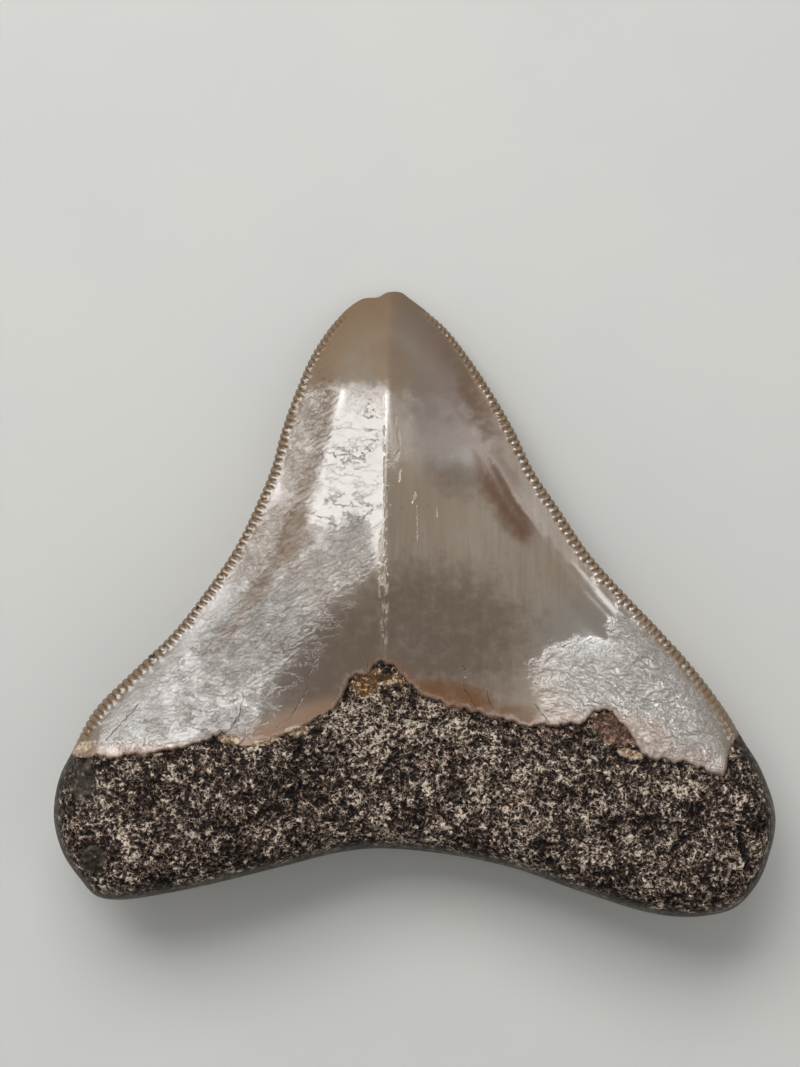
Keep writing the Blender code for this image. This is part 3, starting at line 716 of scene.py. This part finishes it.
def oval(x, y, spot, blur):
    """1 inside a small oval and 0 outside it."""
    spot_x, spot_y, half_length, half_width, turn = spot
    c, s = math.cos(math.radians(turn)), math.sin(math.radians(turn))
    along = ((x - spot_x) * c + (y - spot_y) * s) / half_length
    across = ((y - spot_y) * c - (x - spot_x) * s) / half_width
    return step_between(sum_of(x.tree, "SQRT", along * along + across * across), 1 + blur, 1 - blur)


def line_between(x, y, x0, y0, x1, y1, half_width):
    """1 on a thin line that tapers off at its ends, and 0 away from it."""
    along = ((x - x0) * (x1 - x0) + (y - y0) * (y1 - y0)) / ((x1 - x0) ** 2 + (y1 - y0) ** 2)
    held = sum_of(x.tree, "MINIMUM", largest(x.tree, along, 0.0), 1.0)
    off_x, off_y = x - x0 - held * (x1 - x0), y - y0 - held * (y1 - y0)
    off = sum_of(x.tree, "SQRT", off_x * off_x + off_y * off_y)
    return step_between(off, half_width * 2.4, half_width * 0.6)


# Chips, whose paleness is partly a painted highlight, cracks, specks of dirt, glints on the worn edge, and
# crust.
wobble = clouds(tree, where, 1.1, 3.0, 0.6) - 0.5
fine_wobble = clouds(tree, where, 3.5, 2.0, 0.6) - 0.5
wobbly_x, wobbly_y = x + wobble * 0.9 + fine_wobble * 0.25, y + wander * 0.3 + fine_wobble * 0.25
chips_and_glints = cracks = specks = 0.0
for spot in CHIPS_AND_GLINTS:
    chips_and_glints = largest(tree, oval(x + fine_wobble * 0.5, y + wobble * 0.8, spot, 0.5), chips_and_glints)
for spot in WORN_RIDGE:
    worn = oval(x + fine_wobble * 0.3, y, spot, 0.4)
    flakes = clouds(tree, stretched(tree, where, 2.6, 0.9, 1.0), 1.0, 3.0, 0.6)
    chips_and_glints = largest(tree, worn * step_between(flakes, 0.42, 0.62), chips_and_glints)
for line in CRACKS:
    cracks = largest(tree, line_between(wobbly_x, wobbly_y, *line), cracks)
cracks = cracks * step_between(clouds(tree, where, 0.8, 1.0), 0.3, 0.6, 0.35, 1.0)
for spot in BLACK_SPECKS:
    specks = largest(tree, oval(x + fine_wobble * 0.4, y, spot, 0.3), specks)
chips_and_glints, cracks, specks = chips_and_glints * lip_side, cracks * lip_side, specks * lip_side
glints = step_between(clouds(tree, where, 2.4, 2.0, 0.6), 0.5, 0.62) * wing_edge
glints = glints * step_between(inset, 1.5, 1.2) * step_between(inset, 0.4, 0.8)
crusted = step_between(painted_fact(tree, "crusted") + wander * 0.5, 0.35, 0.75)
crust = mixed(tree, step_between(clouds(tree, where, 2.2, 3.0, 0.6), 0.35, 0.65), CRUST_BROWN, CRUST_CREAM)
# The chips' cream is partly a painted highlight: it stands in for glints on the chips beside the ridge.
colour = mixed(tree, chips_and_glints * 0.5, colour, CHIP_AND_GLINT_CREAM)
colour = mixed(tree, cracks * 0.6, colour, CRACK_BROWN)
colour = mixed(tree, glints * 0.8, colour, GLINT_CREAM)
colour = mixed(tree, crusted, colour, crust)
colour = mixed(tree, specks, colour, SPECK_BLACK)

# Fine ripples like scales run along the left wing, in clusters.
bent = added(tree, where, scaled(tree, vector_of(tree, wobble, fine_wobble, wander), 0.6))
along_wing = stretched(tree, turned(tree, bent, -33), 1.0, 2.5, 1.0)
cells = node(tree, "ShaderNodeTexVoronoi", {"Vector": along_wing, "Scale": 1.0}, feature="F1")
ripples = Value(tree, cells.outputs["Distance"]) * 0.12 + folds(tree, along_wing, 1.0, 4.0, 0.65) * 0.22
clusters = step_between(clouds(tree, where, 0.6, 3.0, 0.6), 0.3, 0.65, 0.4, 1.0)
crinkled = step_between(painted_fact(tree, "crinkled") + wander * 0.15, 0.05, 1.15)
# Brushed lines and soft dapples cover the right wing.
swayed = added(tree, where, scaled(tree, vector_of(tree, wobble, wobble, 0.0), 1.4))
flowing = stretched(tree, turned(tree, swayed, 35), 0.4, 2.8, 1.0)
dapples = clouds(tree, where, 0.45) * 0.15 + clouds(tree, where, 1.3) * 0.05
dapples = dapples + folds(tree, flowing, 1.0, 3.0, 0.6, 0.8) * 0.13
dappled = painted_fact(tree, "dappled")
dappled = step_between(dappled + wander * 0.4, 0.1, 1.2) * step_between(dappled, 0.0, 0.3)
# A few thin folds cross the left facet.
folded = folds(tree, stretched(tree, bent, 0.35, 0.8, 1.0), 1.0, 3.0, 0.6, 0.4)
fold_lines = step_between(folded, 0.03, 0.0) * painted_fact(tree, "creased") * clusters
fine = clouds(tree, where, 6.0) * 0.0015
height = ripples * clusters * crinkled + dapples * dappled + fine + streaks * 0.002
height = height - fold_lines * 0.035 - cracks * 0.06 - chips_and_glints * 0.04 + crusted * 0.12 + glints * 0.05

# Glossy, but matt at the tip, on the bevel, in stains and at its end, and glossy again on the beads.
left_roughness = step_between(y + wander * 1.5, *TIP_MATT_Y, GLOSSY, TIP_MATT)
right_roughness = step_between(y + wander * 2.5, *RIGHT_MATT_Y, GLOSSY, TIP_MATT)
roughness = left_roughness * (1 - right_of_ridge) + right_roughness * right_of_ridge
roughness = roughness + step_between(painted_fact(tree, "matt") + wander * 0.8, 0.1, 0.9) * 0.2
for duller in (
    step_between(enamel_end, 0.9, 0.0) * 0.5, painted_fact(tree, "brown") * 0.45,
    chips_and_glints * 0.6, crusted * 0.8,
):
    roughness = largest(tree, roughness, duller)
roughness = roughness * (1 - beads) + beads * BEAD_GLOSS
finish_material(tree, colour, roughness, bumped(tree, height), IOR=ENAMEL_IOR)

# ------------------------------------------------------------------------------------------------
# Serrations. The cutting edge of the enamel grew as a row of small rounded beads with a notch after
# each, on both faces. They are worn off at the tip and at both ends, and a few are broken away.
# ------------------------------------------------------------------------------------------------
PITCH, NOTCH_DEPTH, BEAD_HEIGHT, BEAD_LENGTH = 0.7, 0.22, 0.27, 1.05
BEAD_FILL = 0.94  # the share of the pitch that a bead takes
BEAD_UNEVENNESS, SMALL_BEAD_HEIGHT, SHORT_BEAD, LONG_BEAD = 0.35, 0.4, 0.7, 1.2
EDGE_HEIGHT, EDGE_RUN, NOTCH_REACH = 0.3, 0.15, 0.45
BROKEN_BEADS = [(12.1, 6.0, 0.5), (18.2, -1.9, 0.45)]  # x, y and reach
BREAK_DEPTH, BREAK_RUN = 1.6, 0.3  # how deep, in notches, and how wide its side is


def geometry_tree(name, sizes):
    """A Geometry Nodes tree with a mesh input and these named sizes, and the values of its inputs."""
    tree = bpy.data.node_groups.new(name, "GeometryNodeTree")
    tree.interface.new_socket("Geometry", in_out="INPUT", socket_type="NodeSocketGeometry")
    tree.interface.new_socket("Geometry", in_out="OUTPUT", socket_type="NodeSocketGeometry")
    for size in sizes:
        tree.interface.new_socket(size, in_out="INPUT", socket_type="NodeSocketFloat")
    inputs = tree.nodes.new("NodeGroupInput")
    return tree, [Value(tree, socket) for socket in inputs.outputs[: len(sizes) + 1]]


def stored(tree, name, kind="FLOAT"):
    """The value that an attribute of the mesh holds at each point."""
    return output_of(tree, "GeometryNodeInputNamedAttribute", name, data_type=kind)


def wears(tree, mesh, wearers, finish):
    """The mesh with the finish given to the faces that wear it."""
    inputs = {"Geometry": mesh, "Selection": wearers, "Material": finish}
    return output_of(tree, "GeometryNodeSetMaterial", inputs)


def finish_tree(tree, mesh, finish, wearers=True):
    """Ends a tree: instances made real, and the finish given to the faces that wear it."""
    real = output_of(tree, "GeometryNodeRealizeInstances", mesh)
    node(tree, "NodeGroupOutput", wears(tree, real, wearers, finish))


def shaped_by(piece, tree, sizes):
    """Runs the tree over the piece with these sizes, and keeps the result as the piece's plain mesh."""
    modifier = piece.modifiers.new(tree.name, "NODES")
    modifier.node_group = tree
    for item in tree.interface.items_tree:
        if item.name in sizes and item.in_out == "INPUT":
            modifier[item.identifier] = sizes[item.name]
    graph = bpy.context.evaluated_depsgraph_get()
    ready = piece.evaluated_get(graph)
    result = bpy.data.meshes.new_from_object(ready, preserve_all_data_layers=True, depsgraph=graph)
    piece.modifiers.remove(modifier)
    piece.data = result


def wave_of_beads(tree, along, pitch):
    """Height across each bead, from 0 in the notch to 1 on its crest, and the number of the bead."""
    place = along / pitch
    number = sum_of(tree, "FLOOR", place)
    across = (place - number - 0.5) * (2 / BEAD_FILL)
    return sum_of(tree, "SQRT", largest(tree, 1 - across * across, 0.0)), number


tree, (mesh, pitch, notch, height, length) = geometry_tree(
    "serrations", ["Pitch", "Notch depth", "Bead height", "Bead length"]
)
bead, number = wave_of_beads(tree, stored(tree, "along"), pitch)
uneven = output_of(tree, "ShaderNodeTexWhiteNoise", {"W": number}, noise_dimensions="1D")
grown = stored(tree, "grown")
whole_bead = stored(tree, "unworn") * (1 - uneven * BEAD_UNEVENNESS) * stored(tree, "bead")
whole_bead = whole_bead * (SMALL_BEAD_HEIGHT + (1 - SMALL_BEAD_HEIGHT) * grown)
inset = stored(tree, "inset")
run_out = inset / (length * grown * (SHORT_BEAD + uneven * (LONG_BEAD - SHORT_BEAD)))
run_out = sum_of(tree, "SQRT", largest(tree, 1 - run_out * run_out, 0.0))
run_out = run_out * step_between(inset, 0.0, EDGE_RUN, EDGE_HEIGHT, 1.0)
rise = scaled(tree, vector_of(tree, 0.0, 0.0, stored(tree, "side")), bead * whole_bead * run_out * height)
nearness = step_between(inset, 0.0, NOTCH_REACH, 1.0, 0.0)
inwards = stored(tree, "inward", "FLOAT_VECTOR")
cut = scaled(tree, inwards, (1 - bead) * whole_bead * nearness * notch)
broken = scaled(tree, inwards, (1 - stored(tree, "bead")) * nearness * notch * BREAK_DEPTH)
moved = scaled(tree, added(tree, added(tree, rise, cut), broken), MM)
# Painted shade for the enamel, darker in the notches between the beads, kept as "notch".
dark = step_between(bead, 0.85, 0.35) * whole_bead * step_between(inset / grown, 1.2, 0.75)
kept = output_of(tree, "GeometryNodeStoreNamedAttribute", {"Geometry": mesh, "Name": "notch", "Value": dark})
shaped = output_of(tree, "GeometryNodeSetPosition", {"Geometry": kept, "Offset": moved})
finish_tree(tree, shaped, enamel)

left_whole = np.ones(len(points))
for x, y, reach in BROKEN_BEADS:
    left_whole *= smooth_step((np.hypot(points[:, 0] - x, points[:, 1] - y) - reach) / BREAK_RUN)
add_fact("bead", left_whole)
shaped_by(tooth, tree, {
    "Pitch": PITCH, "Notch depth": NOTCH_DEPTH, "Bead height": BEAD_HEIGHT, "Bead length": BEAD_LENGTH,
})

# ------------------------------------------------------------------------------------------------
# Root. Spongy dentine, open to the ground, so it fossilised nearly black with a net of thin beige
# bone walls standing out of it. A smooth dark skin is left along its base and in a few patches.
# ------------------------------------------------------------------------------------------------
WALL_SIZE, WALL_HEIGHT, HOLLOW_SIZE, HOLLOW_DEPTH, PIT_DEPTH = 0.85, 0.24, 3.0, 0.35, 0.25
BASAL_SKIN = (0.5, 1.1)  # the smooth skin along the base fades out between these insets
# Tints, for how bright a spot is: nearly black, brown, beige, and two that are stained.
BLACK_TINT, BROWN_TINT, BEIGE_TINT = (1.42, 0.93, 0.84, 1.0), (1.42, 0.97, 0.7, 1.0), (1.2, 1.0, 0.8, 1.0)
RUST_TINT, OCHRE_TINT = (1.5, 0.9, 0.66, 1.0), (1.8, 1.02, 0.5, 1.0)
MIDDLING, BRIGHTEST = 0.043, 0.65
SKIN_BLACK, SKIN_GREY, BLACK_SPOT = (34, 30, 24), (72, 66, 56), (16, 12, 11)
PALE_BROWN, PALE_CREAM = (150, 138, 120), (218, 208, 190)
# Patches, as (x, y, half length, half width, turn in degrees, strength).
ROOT_PATCHES = {
    "smooth": [(-32.8, -17.5, 2.3, 1.3, 90, 1.0), (-31.8, -25.2, 1.5, 1.3, 90, 1.0)],
    "black": [
        (19.0, -26.5, 1.7, 0.4, 5, 1.0), (32.6, -24.7, 1.6, 0.5, -70, 0.8), (-2.8, -6.7, 0.7, 0.5, 0, 0.6),
        (-10.0, -12.8, 0.6, 0.4, 0, 0.8), (21.5, -15.6, 1.5, 0.2, -8, 0.9),
    ],
    "pale": [
        (-0.5, -11.8, 0.8, 0.35, -15, 1.0), (-23.8, -16.8, 0.8, 0.25, -60, 0.8),
        (-21.7, -22.7, 0.8, 0.5, 0, 0.7), (17.9, -15.3, 0.6, 0.2, -40, 0.9),
    ],
    "lit": [
        (-3.0, -11.8, 9.0, 4.5, 10, 0.9), (10.0, -17.0, 9.0, 4.0, -5, 0.5), (22.2, -17.8, 1.8, 0.8, -20, 1.0),
        (3.5, -11.8, 3.5, 1.2, -12, 1.0), (25.0, -17.0, 4.0, 1.5, -10, 0.6),
    ],
    "rusty": [
        (1.3, -15.9, 1.2, 0.8, 0, 0.7), (9.6, -19.7, 1.4, 1.0, 0, 0.7), (-33.6, -22.7, 1.6, 0.9, 90, 0.8),
        (14.0, -12.8, 3.0, 0.6, 0, 0.8), (-10.8, -11.9, 1.5, 0.5, 25, 0.8),
    ],
    "chip_floor": [(19.6, -12.4, 2.3, 1.5, -30, 1.0)],
    "ochre": [(-4.7, -7.7, 1.7, 1.3, 60, 1.0), (-2.4, -7.6, 1.7, 0.7, -12, 0.8)],
}


def bone_walls(tree, where, size):
    """The net of bone walls: 1 on the crest of a wall and 0 in the hollows between."""
    line = folds(tree, where, 1.0 / size, 2.0, 0.6, 0.6) * 14
    crossed = added(tree, scaled(tree, where, 1.6 / size), (31.0, 17.0, 5.0))
    cross_line = folds(tree, crossed, 1.0, 1.0, 0.5, 0.4) * 12
    return largest(tree, 1 - sum_of(tree, "MINIMUM", line, cross_line), 0.0)


for name, spots in ROOT_PATCHES.items():
    add_patches(name, spots)

root = bpy.data.materials.new("tooth_root")
tree = material_tree(root)
where = painted_fact(tree, "rest", "Vector")
patchy = clouds(tree, where, 1.2, 4.0, 0.65)
wander = (patchy - 0.5) * 2.0
walls = bone_walls(tree, where, WALL_SIZE)
specks = clouds(tree, where, 2.6, 2.0, 0.65)
broad = clouds(tree, where, 0.3, 3.0, 0.6)
cells = node(tree, "ShaderNodeTexVoronoi", {"Vector": where, "Scale": 2.1, "Randomness": 1.0}, feature="F1")
cell_shade, _, _ = parts_of(tree, Value(tree, cells.outputs["Color"]))
dots = step_between(Value(tree, cells.outputs["Distance"]), 0.34, 0.12) * step_between(cell_shade, 0.45, 0.9)

# How bright each spot is, as a power: walls and grains bright, the hollows between them nearly black.
depth = (walls - 0.3) * 3.5 + dots * 2.0 + (specks - 0.5) * 7.0 + (patchy - 0.5) * 7.5 + (broad - 0.5) * 6.0
chip_floor = step_between(painted_fact(tree, "chip_floor") + wander * 0.4, 0.35, 0.75)
depth = depth * (1 - chip_floor * 0.6) + painted_fact(tree, "lit") * 0.6 + chip_floor * 1.25 - 0.68
brightness = sum_of(tree, "MINIMUM", sum_of(tree, "EXPONENT", depth) * MIDDLING, BRIGHTEST)
tint = mixed(tree, step_between(brightness, 0.0, 0.05), BLACK_TINT, BROWN_TINT)
tint = mixed(tree, step_between(brightness, 0.08, 0.35), tint, BEIGE_TINT)
rust = step_between(painted_fact(tree, "rusty") + wander * 0.4, 0.3, 0.9)
tint = mixed(tree, largest(tree, rust * 0.5, chip_floor), tint, RUST_TINT)
ochre = step_between(painted_fact(tree, "ochre") + wander * 0.4, 0.35, 0.8)
tint = mixed(tree, ochre, tint, OCHRE_TINT)
brightness = brightness * (1 - ochre * 0.45) + ochre * 0.05
colour = scaled(tree, tint, brightness)

# The skin along the base, crust, and the pale and black spots.
basal = step_between(painted_fact(tree, "inset") + wander * 0.3, BASAL_SKIN[1], BASAL_SKIN[0])
smooth = largest(tree, basal, step_between(painted_fact(tree, "smooth") + wander * 0.5, 0.45, 0.65))
skin = mixed(tree, step_between(patchy, 0.35, 0.65), SKIN_BLACK, SKIN_GREY)
colour = mixed(tree, smooth * 0.8, colour, skin)
crusted = step_between(painted_fact(tree, "crusted") + wander * 0.5, 0.35, 0.75)
crust = mixed(tree, step_between(specks, 0.4, 0.6), CRUST_BROWN, CRUST_CREAM)
colour = mixed(tree, crusted, colour, crust)
pale = step_between(painted_fact(tree, "pale") + wander * 0.5, 0.5, 0.75)
colour = mixed(tree, pale, colour, mixed(tree, step_between(specks, 0.35, 0.6), PALE_BROWN, PALE_CREAM))
black = step_between(painted_fact(tree, "black") + wander * 0.5, 0.45, 0.75)
colour = mixed(tree, black * 0.9, colour, BLACK_SPOT)
stand = (walls * 0.12 + specks * 0.12 + dots * 0.06) * (1 - smooth * 0.8)
roughness = step_between(smooth, 0.0, 1.0, 0.6, 0.42)
finish_material(tree, colour, roughness, bumped(tree, stand), IOR=1.5, Specular_IOR_Level=0.1)

# The chevron of bare dentine between enamel and root, on the tongue face.
BAND_DARK, BAND_PALE = (58, 44, 34), (92, 74, 58)
bourlette = bpy.data.materials.new("tooth_bourlette")
tree = material_tree(bourlette)
where = painted_fact(tree, "rest", "Vector")
grain = clouds(tree, stretched(tree, where, 3.0, 0.8, 1.0), 1.0, 3.0, 0.6)
colour = mixed(tree, step_between(grain, 0.35, 0.65), BAND_DARK, BAND_PALE)
finish_material(tree, colour, 0.5, bumped(tree, grain * 0.03), IOR=1.5, Specular_IOR_Level=0.3)

tree, (mesh, wall_size, wall_height, hollow_size, hollow_depth) = geometry_tree(
    "root_relief", ["Wall size", "Wall height", "Hollow size", "Hollow depth"]
)
where = stored(tree, "rest", "FLOAT_VECTOR")
foot = stored(tree, "foot")
on_root = step_between(foot, -0.05, -0.5) * step_between(stored(tree, "inset"), 0.3, 2.2)
on_root = on_root * (1 - stored(tree, "smooth") * 0.8)
walls = bone_walls(tree, where, wall_size)
hollows = clouds(tree, where, 1 / hollow_size, 3.0, 0.6) - 0.5
raised = ((walls - 0.3) * wall_height + hollows * hollow_depth * 2.0) * on_root
raised = raised - stored(tree, "black") * PIT_DEPTH
moved = scaled(tree, output_of(tree, "GeometryNodeInputNormal"), raised * MM)
shaped = output_of(tree, "GeometryNodeSetPosition", {"Geometry": mesh, "Offset": moved})
# Nothing sinks into the table.
x, y, z = parts_of(tree, output_of(tree, "GeometryNodeInputPosition"))
on_table = vector_of(tree, x, y, largest(tree, z, 0.0))
rested = output_of(tree, "GeometryNodeSetPosition", {"Geometry": shaped, "Position": on_table})
bare, rooted = (
    output_of(tree, "FunctionNodeCompare", {0: fact, 1: 0.0}, operation="LESS_THAN")
    for fact in (stored(tree, "enamel"), foot)
)
finish_tree(tree, wears(tree, rested, bare, bourlette), root, rooted)
shaped_by(tooth, tree, {
    "Wall size": WALL_SIZE, "Wall height": WALL_HEIGHT,
    "Hollow size": HOLLOW_SIZE, "Hollow depth": HOLLOW_DEPTH,
})

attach(tooth, "root")
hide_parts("tooth")

# ------------------------------------------------------------------------------------------------
# The table it lies on: a plain pale board, larger than the view.
# ------------------------------------------------------------------------------------------------
TABLE_SIZE = 1.6  # metres
BOARD_GREY, BOARD_PALE = (212, 212, 208), (216, 215, 210)

bpy.ops.mesh.primitive_plane_add(size=TABLE_SIZE)
table = bpy.context.object
table.name = "table"
board = bpy.data.materials.new("pale_board")
tree = material_tree(board)
where = Value(tree, node(tree, "ShaderNodeTexCoord").outputs["Object"])
shade = clouds(tree, where, 30.0, 3.0, 0.6)
grain = clouds(tree, where, 900.0)
colour = mixed(tree, step_between(shade, 0.3, 0.7), BOARD_GREY, BOARD_PALE)
finish_material(tree, colour, 0.6, bumped(tree, grain * 0.01), IOR=1.45)
table.data.materials.append(board)

# ------------------------------------------------------------------------------------------------
# Light: a window high on the left, a broad pale sky beyond the tip, and a dim even fill.
# ------------------------------------------------------------------------------------------------
# Name, height, left and right, near and far as slopes from the middle of the tooth, brightness and
# colour, and whether it lights the table too or only shines in the enamel.
LIGHTS = [
    ("window", 0.6, (-0.60, -0.07), (0.34, 0.58), 6.0, (0.98, 0.98, 0.95), True),
    ("window_shine", 0.61, (-0.60, -0.07), (0.34, 0.58), 5.5, (0.98, 0.98, 0.95), False),
    ("sky", 0.9, (-1.15, 0.30), (0.58, 1.35), 4.3, (0.97, 0.98, 1.0), True),
    ("left_shine", 0.92, (-0.28, -0.03), (0.50, 0.68), 11.0, (0.98, 0.98, 0.97), False),
    ("left_edge_shine", 0.93, (-1.15, -0.60), (0.50, 1.00), 7.0, (0.98, 0.98, 0.97), False),
    ("right_shine", 0.91, (-0.02, 0.26), (0.58, 0.80), 19.0, (0.98, 0.98, 0.97), False),
    ("strip_shine", 0.91, (0.42, 0.60), (0.75, 0.95), 11.0, (0.98, 0.98, 0.97), False),
    ("edge_shine", 0.9, (0.80, 1.40), (0.80, 1.50), 4.0, (0.98, 0.98, 0.97), False),
]
FILL = (0.40, 0.40, 0.40, 1.0)

for name, height, (left, right), (near, far), brightness, tint, lights_table in LIGHTS:
    light = bpy.data.lights.new(name, "AREA")
    light.shape = "RECTANGLE"
    light.size, light.size_y = (right - left) * height, (far - near) * height
    light.energy = brightness * math.pi * light.size * light.size_y
    light.color = tint
    lamp = bpy.data.objects.new(name, light)
    lamp.location = ((left + right) / 2 * height, (near + far) / 2 * height, height)
    lamp.visible_diffuse = lights_table
    bpy.context.scene.collection.objects.link(lamp)

world = bpy.data.worlds.new("fill")
world.use_nodes = True
world.node_tree.nodes["Background"].inputs["Color"].default_value = FILL
bpy.context.scene.world = world

# ------------------------------------------------------------------------------------------------
# The camera, straight above.
# ------------------------------------------------------------------------------------------------
CAMERA_OVER, CAMERA_HEIGHT, LENS = (-1.45, 7.0), 400.0, 132.0

camera = bpy.data.objects.new("camera", bpy.data.cameras.new("camera"))
camera.location = (CAMERA_OVER[0] * MM, CAMERA_OVER[1] * MM, CAMERA_HEIGHT * MM)
camera.data.lens = LENS
camera.data.clip_start = 0.01
camera.data.dof.use_dof = False
bpy.context.scene.collection.objects.link(camera)
bpy.context.scene.camera = camera
bpy.context.scene.view_settings.view_transform = "Standard"
